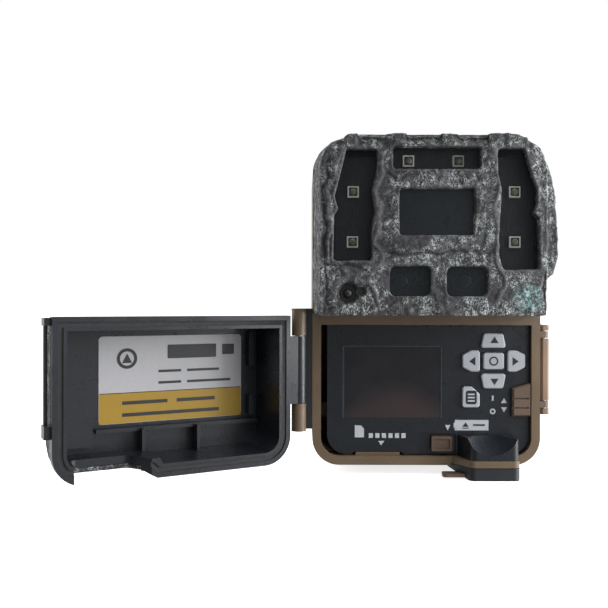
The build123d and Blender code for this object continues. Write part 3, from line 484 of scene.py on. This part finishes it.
def cover_relief():
    mesh = even_copy("bark_cover", 0.40)
    places, normals = arrays(mesh)
    x, y, h = places[:, 0], places[:, 1], places[:, 2] - BASE
    share = np.clip((RIM_Y - y) / (RIM_Y - FRONT_Y), 0, 1)
    left = x + 38.0 - 2.0 * share
    right = 38.0 - 4.4 * share - x
    top = COVER_TOP - 2.2 * share - h
    wall = np.minimum.reduce([left, right, top])
    for side in (left, right):
        rounded = CORNER - np.hypot(np.maximum(CORNER - side, 0), np.maximum(CORNER - top, 0))
        wall = np.where((side < CORNER) & (top < CORNER), rounded, wall)
    front = step(1.2, 0.6, y - FRONT_Y)
    outer = np.maximum(front, step(1.2, 0.7, wall))

    flash = nearness(places, ("left_flash_window", "right_flash_window"), WINDOW_Y)
    lens = nearness(places, ("day_lens_window", "night_lens_window"), WINDOW_Y)
    strip = nearness(places, ("top_flash_window", "sensor_window"), WINDOW_Y)
    round_ = nearness(places, ("light_sensor", "status_led"), SENSOR_Y)
    window = np.minimum.reduce([flash, lens, strip])

    wobble = places + 1.3 * np.stack([lattice(places, 4.0, 30), lattice(places, 4.0, 31),
                                      lattice(places, 4.0, 32)], axis=1)
    tall = wobble * np.array([1.0, 1.0, 0.7])
    coarse = rough_noise(tall, 7.0, 3, 3)
    fine = rough_noise(tall, 1.5, 11, 3)
    width = 0.95 + 0.45 * lattice(places, 5.0, 33)
    ridge = np.zeros(len(x))
    for points in LONG_RIDGES:
        far = line_distance(wobble[:, 0], wobble[:, 2] - BASE, points)
        ridge = np.maximum(ridge, step(0.8, 0.45, far / width))
    ridge *= front
    rims = np.maximum(step(1.0, 0.6, flash), step(1.0, 0.5, np.minimum(lens, strip)) * 0.5) * front
    rims *= step(-0.5, 0.1, lattice(places, 5.0, 37))
    raised = np.maximum(ridge, rims)
    edge = step(0.0, 0.75, window)

    gaps = plate_edges(tall, 6.5, 21)
    split = step(0.22, 0.04, gaps) * (1 - raised)
    darkening = np.zeros(len(x))
    for points in CRACKS:
        darkening = np.maximum(darkening, step(0.7, 0.2, line_distance(wobble[:, 0], wobble[:, 2] - BASE, points)))
    darkening *= front * (1 - raised)

    bark_height = 0.18 * coarse + 0.14 * fine - 0.20 * split - 0.35 * darkening
    height = raised * (0.26 + 0.10 * fine) + (1 - raised) * bark_height
    height -= 0.45 * step(1.2, 0.5, round_) * front
    height -= (1 - edge) * 0.30 * front
    crest = np.zeros(len(x))
    for start, end in CREST:
        crest = np.maximum(crest, step(-0.5, 0.5, x - start) * step(0.5, -0.5, x - end))
    height -= step(5.0, 0.5, top) * step(16.0, 8.0, y - FRONT_Y) * 1.2 * (1 - crest)
    height *= outer
    places = places + normals * height[:, None]
    places[:, 2] = np.minimum(places[:, 2], COVER_TOP + BASE)
    lowest = COVER_LOW - COVER_DROP * share + BASE
    near_edge = h < COVER_LOW + 1.0 - COVER_DROP * share
    places[:, 2] = np.where(near_edge, np.maximum(places[:, 2], lowest), places[:, 2])
    plain = raised * (0.45 + 0.45 * step(-0.2, 0.3, lattice(places, 2.2, 45)))
    # The ring round the light sensor and the status light is painted shade in their recess; the cracks and
    # plate gaps are printed dark.
    dark = np.maximum(split * 0.45, darkening * 0.8) + 0.8 * step(1.0, 0.5, round_) * front
    finish_bark("bark_cover_relief", mesh, places, plain, dark * (1 - 0.5 * raised), "bark_cover", "housing")


def turned(places, angle):
    """Places turned about the door's hinge."""
    c, s = math.cos(angle), math.sin(angle)
    x, y = places[:, 0] - HINGE[0], places[:, 1] - HINGE[1]
    return np.stack([HINGE[0] + c * x - s * y, HINGE[1] + s * x + c * y, places[:, 2]], axis=1)


def door_relief():
    mesh = even_copy("door_skin", 0.40)
    places, normals = arrays(mesh)
    closed = turned(places, -DOOR_OPEN)
    facing = turned(places + normals, -DOOR_OPEN) - closed
    x, y, h = closed[:, 0], closed[:, 1], closed[:, 2] - BASE
    share = np.clip((DOOR_MOUTH_Y - y) / (DOOR_MOUTH_Y - FRONT_Y), 0, 1)
    inset = 0.2 + 1.1 * share
    wall = np.minimum.reduce([x + 37.7 - inset, 36.0 - inset - x, 53.4 - inset - h, h - 6.0 - inset])
    front = step(0.9, 0.4, y - FRONT_Y)
    outward = -facing[:, 1]
    outer = np.maximum(front * step(0.2, 0.6, outward), step(0.9, 0.4, wall) * step(-0.1, 0.2, outward + 0.3))
    wobble = closed + 1.3 * np.stack([lattice(closed, 4.0, 50), lattice(closed, 4.0, 51),
                                      lattice(closed, 4.0, 52)], axis=1)
    tall = wobble * np.array([1.0, 1.0, 0.6])
    coarse = rough_noise(tall, 7.0, 53, 3)
    fine = rough_noise(tall, 1.6, 57, 3)
    split = step(0.20, 0.04, plate_edges(tall, 7.5, 61))
    ridge = np.zeros(len(x))
    for shift in (-24.0, -7.0, 12.0, 27.0):
        points = [(shift + 1.6 * math.sin(0.31 * t + shift), t) for t in range(4, 58, 4)]
        ridge = np.maximum(ridge, step(1.3, 0.7, line_distance(wobble[:, 0], wobble[:, 2] - BASE, points)))
    height = -0.42 + 0.22 * coarse + 0.12 * fine - 0.25 * split
    height = ridge * -0.03 + (1 - ridge) * height
    height = np.clip(height, -0.85, 0.0) * outer
    places = places + normals * height[:, None]
    finish_bark("door_skin_relief", mesh, places, ridge * 0.9 * front, split * 0.5 * (1 - ridge),
                "door_skin", "door")


cover_relief()
door_relief()


# ---------------------------------------------------------------- small printed and moulded marks
def prism(name, outlines, near, far, finish, body, swing=False):
    """Flat plates with these outlines of (x, height), between two depths, riding on a body."""
    shape = bmesh.new()
    for points in outlines:
        front = [shape.verts.new(point(x, near, h)) for x, h in points]
        back = [shape.verts.new(point(x, far, h)) for x, h in points]
        shape.faces.new(front)
        shape.faces.new(back[::-1])
        for i in range(len(points)):
            j = (i + 1) % len(points)
            shape.faces.new((front[j], front[i], back[i], back[j]))
    bmesh.ops.recalc_face_normals(shape, faces=shape.faces)
    mesh = bpy.data.meshes.new(name)
    shape.to_mesh(mesh)
    shape.free()
    if swing:
        pivot = Vector((HINGE[0], HINGE[1], 0)) * MM
        turn = Matrix.Translation(pivot) @ Matrix.Rotation(DOOR_OPEN, 4, "Z") @ Matrix.Translation(-pivot)
        mesh.transform(turn)
    mesh.materials.append(finish)
    piece = bpy.data.objects.new(name, mesh)
    bpy.context.scene.collection.objects.link(piece)
    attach(piece, body)
    return piece


def bar(x0, x1, h0, h1):
    return [(x0, h0), (x1, h0), (x1, h1), (x0, h1)]


def pill(x0, x1, h0, h1, radius, steps=4):
    """Rectangle with rounded corners."""
    points = []
    corners = ((x1 - radius, h1 - radius, 0), (x0 + radius, h1 - radius, 90),
               (x0 + radius, h0 + radius, 180), (x1 - radius, h0 + radius, 270))
    for cx, ch, start in corners:
        for i in range(steps + 1):
            a = math.radians(start + 90 * i / steps)
            points.append((cx + radius * math.cos(a), ch + radius * math.sin(a)))
    return points


def ring(cx, ch, outer, inner, steps=24):
    """Ring made of short flat pieces."""
    pieces = []
    for i in range(steps):
        a, b = (2 * math.pi * k / steps for k in (i, i + 1))
        pieces.append([(cx + r * math.cos(t), ch + r * math.sin(t))
                       for r, t in ((outer, a), (outer, b), (inner, b), (inner, a))])
    return pieces


DARK_INK = printed("dark_ink", (0.012, 0.013, 0.016))
PALE_INK = printed("pale_ink", (0.50, 0.52, 0.55))
YELLOW_INK = printed("yellow_ink", (0.33, 0.20, 0.012), 0.45, 0.05)

KEY_FRONT = -47.3
GLYPHS = {
    "button_up": [[(21.5, 44.2), (24.3, 44.2), (22.9, 46.4)]],
    "button_down": [[(21.5, 32.3), (22.9, 30.1), (24.3, 32.3)]],
    "button_left": [[(14.4, 38.1), (16.5, 36.6), (16.5, 39.6)]],
    "button_right": [[(31.0, 38.1), (28.9, 39.6), (28.9, 36.6)]],
    "button_ok": ring(22.65, 38.15, 1.55, 1.05),
}
for name, shapes in GLYPHS.items():
    prism(name + "_glyph", shapes, KEY_FRONT - 0.03, KEY_FRONT + 0.05, DARK_INK, name)
prism("button_mode_inset", [pill(13.3, 17.0, 23.7, 28.3, 0.8)], KEY_FRONT - 0.02, KEY_FRONT + 0.05, DARK_INK,
      "button_mode")
prism("button_mode_glyph", [bar(14.0, 16.3, 24.6 + 1.1 * i, 25.1 + 1.1 * i) for i in range(3)],
      KEY_FRONT - 0.05, KEY_FRONT, PALE_INK, "button_mode")

PANEL_Y = -46.2
panel_marks = [
    [(-23.7, 12.4), (-20.6, 12.4), (-20.6, 15.3), (-21.6, 16.4), (-23.7, 16.4)],
    [(-15.8, 11.2), (-14.8, 9.7), (-13.8, 11.2)],
    [(25.4, 24.0), (27.4, 24.0), (26.4, 25.7)],
    [(25.4, 22.6), (26.4, 20.9), (27.4, 22.6)],
    [(6.6, 16.6), (7.5, 14.8), (8.4, 16.6)],
    bar(9.9, 21.2, 14.8, 18.3),
    bar(9.5, 9.9, 15.7, 17.4),
    bar(22.3, 22.9, 24.8, 26.5),
]
panel_marks += [bar(-19.0 + 2.2 * i, -17.6 + 2.2 * i, 12.2, 13.8) for i in range(6)]
panel_marks += ring(22.6, 21.2, 0.95, 0.5)
prism("panel_marks", panel_marks, PANEL_Y - 0.03, PANEL_Y + 0.05, PALE_INK, "housing")
DISPLAY_LOW, DISPLAY_HIGH = 18.9, 42.8
# Painted highlights: thin pale lines along the left, top and right edges of the display, in place of light
# caught by the bezel.
display_edge_highlights = [
    bar(-27.75, -27.5, DISPLAY_LOW, DISPLAY_HIGH),
    bar(-27.5, 5.0, DISPLAY_HIGH + 0.1, DISPLAY_HIGH + 0.25),
    bar(5.2, 5.4, DISPLAY_LOW, DISPLAY_HIGH),
]
prism("display_edge_highlights", display_edge_highlights, PANEL_Y - 0.02, PANEL_Y + 0.05,
      printed("edge_shine", (0.075, 0.080, 0.090)), "housing")
prism("eject_plate_mark", [[(12.4, 16.0), (14.6, 16.0), (13.5, 17.5)], bar(12.4, 14.6, 15.4, 15.7),
                           bar(16.0, 20.0, 16.3, 16.9)],
      PANEL_Y - 0.05, PANEL_Y, DARK_INK, "housing")

LABEL_Y = -64.6         # face of the label inside the door
label_ink = [
    pill(-4.0, 12.5, 40.2, 44.6, 0.4),
    bar(14.6, 18.8, 41.0, 44.4),
    bar(-7.0, 0.5, 35.9, 36.7), bar(2.5, 13.5, 35.9, 36.7),
    bar(-7.0, 0.5, 32.3, 33.1), bar(2.5, 17.5, 32.3, 33.1),
    bar(-25.4, 21.1, 29.85, 30.1),
    bar(-18.5, -4.0, 26.3, 27.4), bar(-1.0, 12.0, 26.3, 27.4),
    bar(-18.5, 13.5, 22.6, 23.7),
]


def closed_label(points):
    """Label drawn as read when the door is open, so it runs the other way when closed."""
    return [(-6.1 - x, h - 0.5) for x, h in points]


prism("label_band", [closed_label(bar(-25.6, 21.3, 20.7, 29.9))], LABEL_Y + 0.03, LABEL_Y - 0.02, YELLOW_INK,
      "door", True)
prism("label_print", [closed_label(p) for p in label_ink + ring(-17.0, 40.6, 3.2, 2.2)
                      + [[(-18.6, 39.2), (-15.4, 39.2), (-17.0, 42.2)]]],
      LABEL_Y + 0.06, LABEL_Y, DARK_INK, "door", True)


# ---------------------------------------------------------------- emitters behind the smoked windows
WELL_Y = -63.03         # face of the emitters' wells
LENS_Y, LENS_H = -63.9, 64.4
LEDS = ((-25.5, 92.3), (-25.7, 76.6), (-8.2, 102.0), (7.4, 102.0), (25.1, 92.4), (25.2, 76.7))


def dome(shape, centre, radius, height, rings=5, sides=20):
    """Low dome that bulges forward, added to a bmesh."""
    rows = []
    for r in range(rings):
        a = math.pi / 2 * r / rings
        row = []
        for s in range(sides):
            t = 2 * math.pi * s / sides
            row.append(shape.verts.new(point(centre[0] + radius * math.cos(a) * math.cos(t),
                                             centre[1] - height * math.sin(a),
                                             centre[2] + radius * math.cos(a) * math.sin(t))))
        rows.append(row)
    tip = shape.verts.new(point(centre[0], centre[1] - height, centre[2]))
    for lower, higher in zip(rows, rows[1:]):
        for s in range(sides):
            t = (s + 1) % sides
            shape.faces.new((lower[s], lower[t], higher[t], higher[s]))
    for s in range(sides):
        shape.faces.new((rows[-1][s], rows[-1][(s + 1) % sides], tip))


def domes(name, centres, radius, height, finish):
    shape = bmesh.new()
    for centre in centres:
        dome(shape, centre, radius, height)
    bmesh.ops.recalc_face_normals(shape, faces=shape.faces)
    mesh = bpy.data.meshes.new(name)
    shape.to_mesh(mesh)
    shape.free()
    mesh.shade_smooth()
    mesh.materials.append(finish)
    piece = bpy.data.objects.new(name, mesh)
    bpy.context.scene.collection.objects.link(piece)
    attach(piece, "housing")
    return piece


def lens_gel(name, colour):
    f = Finish(name, 0.12)
    dark, light = shades(colour, 0.3)
    f.colour(f.ramp(f.noise(1.2, 3), (0.3, dark), (0.7, light)))
    f.rough(f.ramp(f.noise(0.8, 2), (0.3, 0.08), (0.7, 0.2)))
    f.shader.inputs["Coat Weight"].default_value = 0.6
    return f.material


WELL = 1.35             # half the width of the dark well in each emitter's frame
prism("flash_emitter_wells", [pill(x - WELL, x + WELL, h - WELL, h + WELL, 0.3) for x, h in LEDS],
      WELL_Y, WELL_Y + 0.13, lens_gel("emitter_well", (0.05, 0.05, 0.04)), "housing")
domes("flash_emitter_domes", [(x, WELL_Y + 0.01, h) for x, h in LEDS], 1.1, 0.5,
      lens_gel("emitter_gel", (0.20, 0.19, 0.13)))
domes("camera_lens_glass", [(x, LENS_Y, LENS_H) for x in (-10.8, 9.2)], 2.6, 0.7,
      lens_gel("lens_glass", (0.012, 0.014, 0.022)))


# ---------------------------------------------------------------- softened edges on the moulded CAD pieces
def soften(node, width, angle=32.0):
    flat = nodes[node].modifiers.new("flat", "DECIMATE")
    flat.decimate_type = "DISSOLVE"
    flat.angle_limit = math.radians(0.4)
    bevel = nodes[node].modifiers.new("edge", "BEVEL")
    bevel.width = width * MM
    bevel.segments = 2
    bevel.limit_method = "ANGLE"
    bevel.angle_limit = math.radians(angle)
    bevel.use_clamp_overlap = True


for name, width in (("control_panel", 0.25), ("front_housing", 0.35), ("power_switch", 0.2),
                    ("eject_button", 0.2), ("latch_lever", 0.2), ("tray_cap", 0.3), ("door_shell", 0.3)):
    soften(name, width)


# ---------------------------------------------------------------- floor, light and camera
def floor():
    f = Finish("floor", 0.8)
    f.colour(f.ramp(f.noise(60.0, 2), (0.3, (0.88, 0.88, 0.88)), (0.7, (0.90, 0.90, 0.90))))
    f.shader.inputs["Emission Color"].default_value = (1.0, 1.0, 1.0, 1.0)
    f.shader.inputs["Emission Strength"].default_value = 0.75
    mesh = bpy.data.meshes.new("floor")
    size = 6.0
    mesh.from_pydata([(-size, -size, BASE * MM), (size, -size, BASE * MM), (size, size, BASE * MM),
                      (-size, size, BASE * MM)], [], [(0, 1, 2, 3)])
    mesh.materials.append(f.material)
    plane = bpy.data.objects.new("floor", mesh)
    plane.visible_diffuse = False
    plane.visible_glossy = False
    bpy.context.scene.collection.objects.link(plane)


def studio():
    """White surroundings to look at, with the light itself coming mostly from the right and the back."""
    world = bpy.data.worlds.new("studio")
    world.use_nodes = True
    tree = world.node_tree
    tree.nodes.clear()
    output = tree.nodes.new("ShaderNodeOutputWorld")
    away = tree.nodes.new("ShaderNodeVectorMath")
    away.operation = "DOT_PRODUCT"
    away.inputs[1].default_value = (0.6, 0.8, 0.0)
    tree.links.new(tree.nodes.new("ShaderNodeTexCoord").outputs["Generated"], away.inputs[0])
    depth = tree.nodes.new("ShaderNodeValToRGB")
    reach = tree.nodes.new("ShaderNodeMath")
    reach.operation = "MULTIPLY_ADD"
    reach.inputs[1].default_value = 0.5
    reach.inputs[2].default_value = 0.5
    tree.links.new(away.outputs["Value"], reach.inputs[0])
    tree.links.new(reach.outputs[0], depth.inputs[0])
    for element, (position, grey) in zip((depth.color_ramp.elements[0], depth.color_ramp.elements[1]),
                                         ((0.08, 0.24), (0.50, 1.0))):
        element.position = position
        element.color = (grey, grey, grey, 1.0)
    light = tree.nodes.new("ShaderNodeBackground")
    tree.links.new(depth.outputs[0], light.inputs[0])
    light.inputs[1].default_value = 0.95
    white = tree.nodes.new("ShaderNodeBackground")
    white.inputs[0].default_value = (1.0, 1.0, 1.0, 1.0)
    share = tree.nodes.new("ShaderNodeMixShader")
    tree.links.new(tree.nodes.new("ShaderNodeLightPath").outputs["Is Camera Ray"], share.inputs[0])
    tree.links.new(light.outputs[0], share.inputs[1])
    tree.links.new(white.outputs[0], share.inputs[2])
    tree.links.new(share.outputs[0], output.inputs[0])
    bpy.context.scene.world = world
    bpy.context.scene.view_settings.view_transform = "Standard"


def area(name, place, target, size, power):
    light = bpy.data.lights.new(name, "AREA")
    light.shape = "RECTANGLE"
    light.size, light.size_y = size
    light.energy = power
    lamp = bpy.data.objects.new(name, light)
    lamp.location = place
    lamp.rotation_euler = (Vector(target) - Vector(place)).to_track_quat("-Z", "Y").to_euler()
    lamp.visible_camera = False
    bpy.context.scene.collection.objects.link(lamp)


floor()
studio()
area("right_window", (0.70, -0.15, 0.12), (0.0, -0.04, -0.02), (0.5, 0.6), 8.0)
area("left_window", (-0.6, 0.05, 0.25), (0.0, -0.04, 0.0), (0.5, 0.6), 2.0)
area("front_fill", (0.10, -0.6, 0.75), (0.0, -0.05, 0.0), (0.8, 0.5), 2.4)
area("near_right", (0.13, -0.14, 0.0), (0.0, -0.05, -0.02), (0.08, 0.10), 0.11)

camera = bpy.data.cameras.new("camera")
camera.sensor_width = SENSOR_WIDTH
camera.lens = FOCAL_LENGTH
camera.clip_start, camera.clip_end = 0.01, 20.0
eye = bpy.data.objects.new("camera", camera)
eye.matrix_world = Matrix.Translation(Vector(EYE) * MM) @ Matrix((
    (math.cos(EYE_ROLL), -math.sin(EYE_ROLL), 0.0, 0.0),
    (0.0, 0.0, -1.0, 0.0),
    (math.sin(EYE_ROLL), math.cos(EYE_ROLL), 0.0, 0.0),
    (0.0, 0.0, 0.0, 1.0)))
bpy.context.scene.collection.objects.link(eye)
bpy.context.scene.camera = eye
